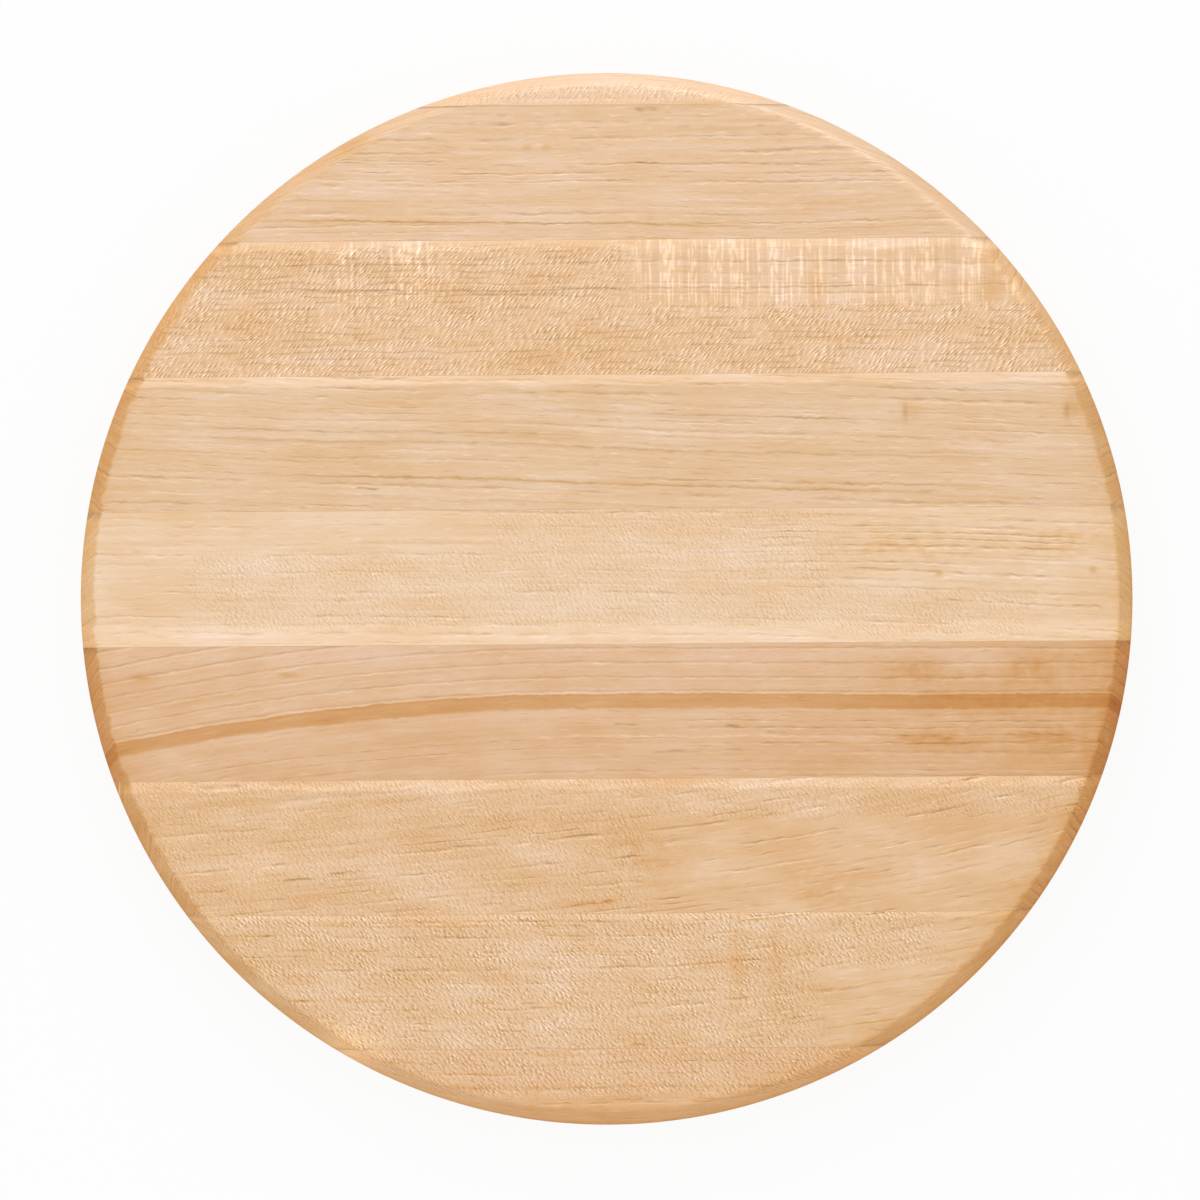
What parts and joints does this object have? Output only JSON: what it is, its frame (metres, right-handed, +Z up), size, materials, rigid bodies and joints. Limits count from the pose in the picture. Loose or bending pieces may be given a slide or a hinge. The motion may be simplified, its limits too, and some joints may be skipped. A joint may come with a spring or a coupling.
{
  "type": "round cutting board",
  "caption": "Thick round butcher-block cutting board of edge-glued hardwood staves, with a bevelled rim on both faces; lies flat on a worktop for chopping and serving.",
  "frame": {"origin": "centre of the underside, on the worktop that the board lies on", "axes": "+X along the grain and the staves, +Y across the staves from the front to the back of the board, +Z up"},
  "size_m": [0.4572, 0.4572, 0.0381],
  "materials": {
    "maple_pale": "oiled satin",
    "maple_plain": "oiled satin",
    "maple_honey": "oiled satin",
    "maple_heart": "oiled satin",
    "maple_straw": "oiled satin",
    "glue": "cured wood glue"
  },
  "bodies": {
    "root": {"back_stave": "maple_pale", "stave_1": "maple_plain", "stave_2": "maple_honey", "stave_3": "maple_plain", "stave_4": "maple_pale", "stave_5": "maple_heart", "stave_6": "maple_straw", "stave_7": "maple_straw", "front_stave": "maple_straw", "glue_line_1": "glue", "glue_line_2": "glue", "glue_line_3": "glue", "glue_line_4": "glue", "glue_line_5": "glue", "glue_line_6": "glue", "glue_line_7": "glue", "glue_line_8": "glue"}
  },
  "joints": []
}
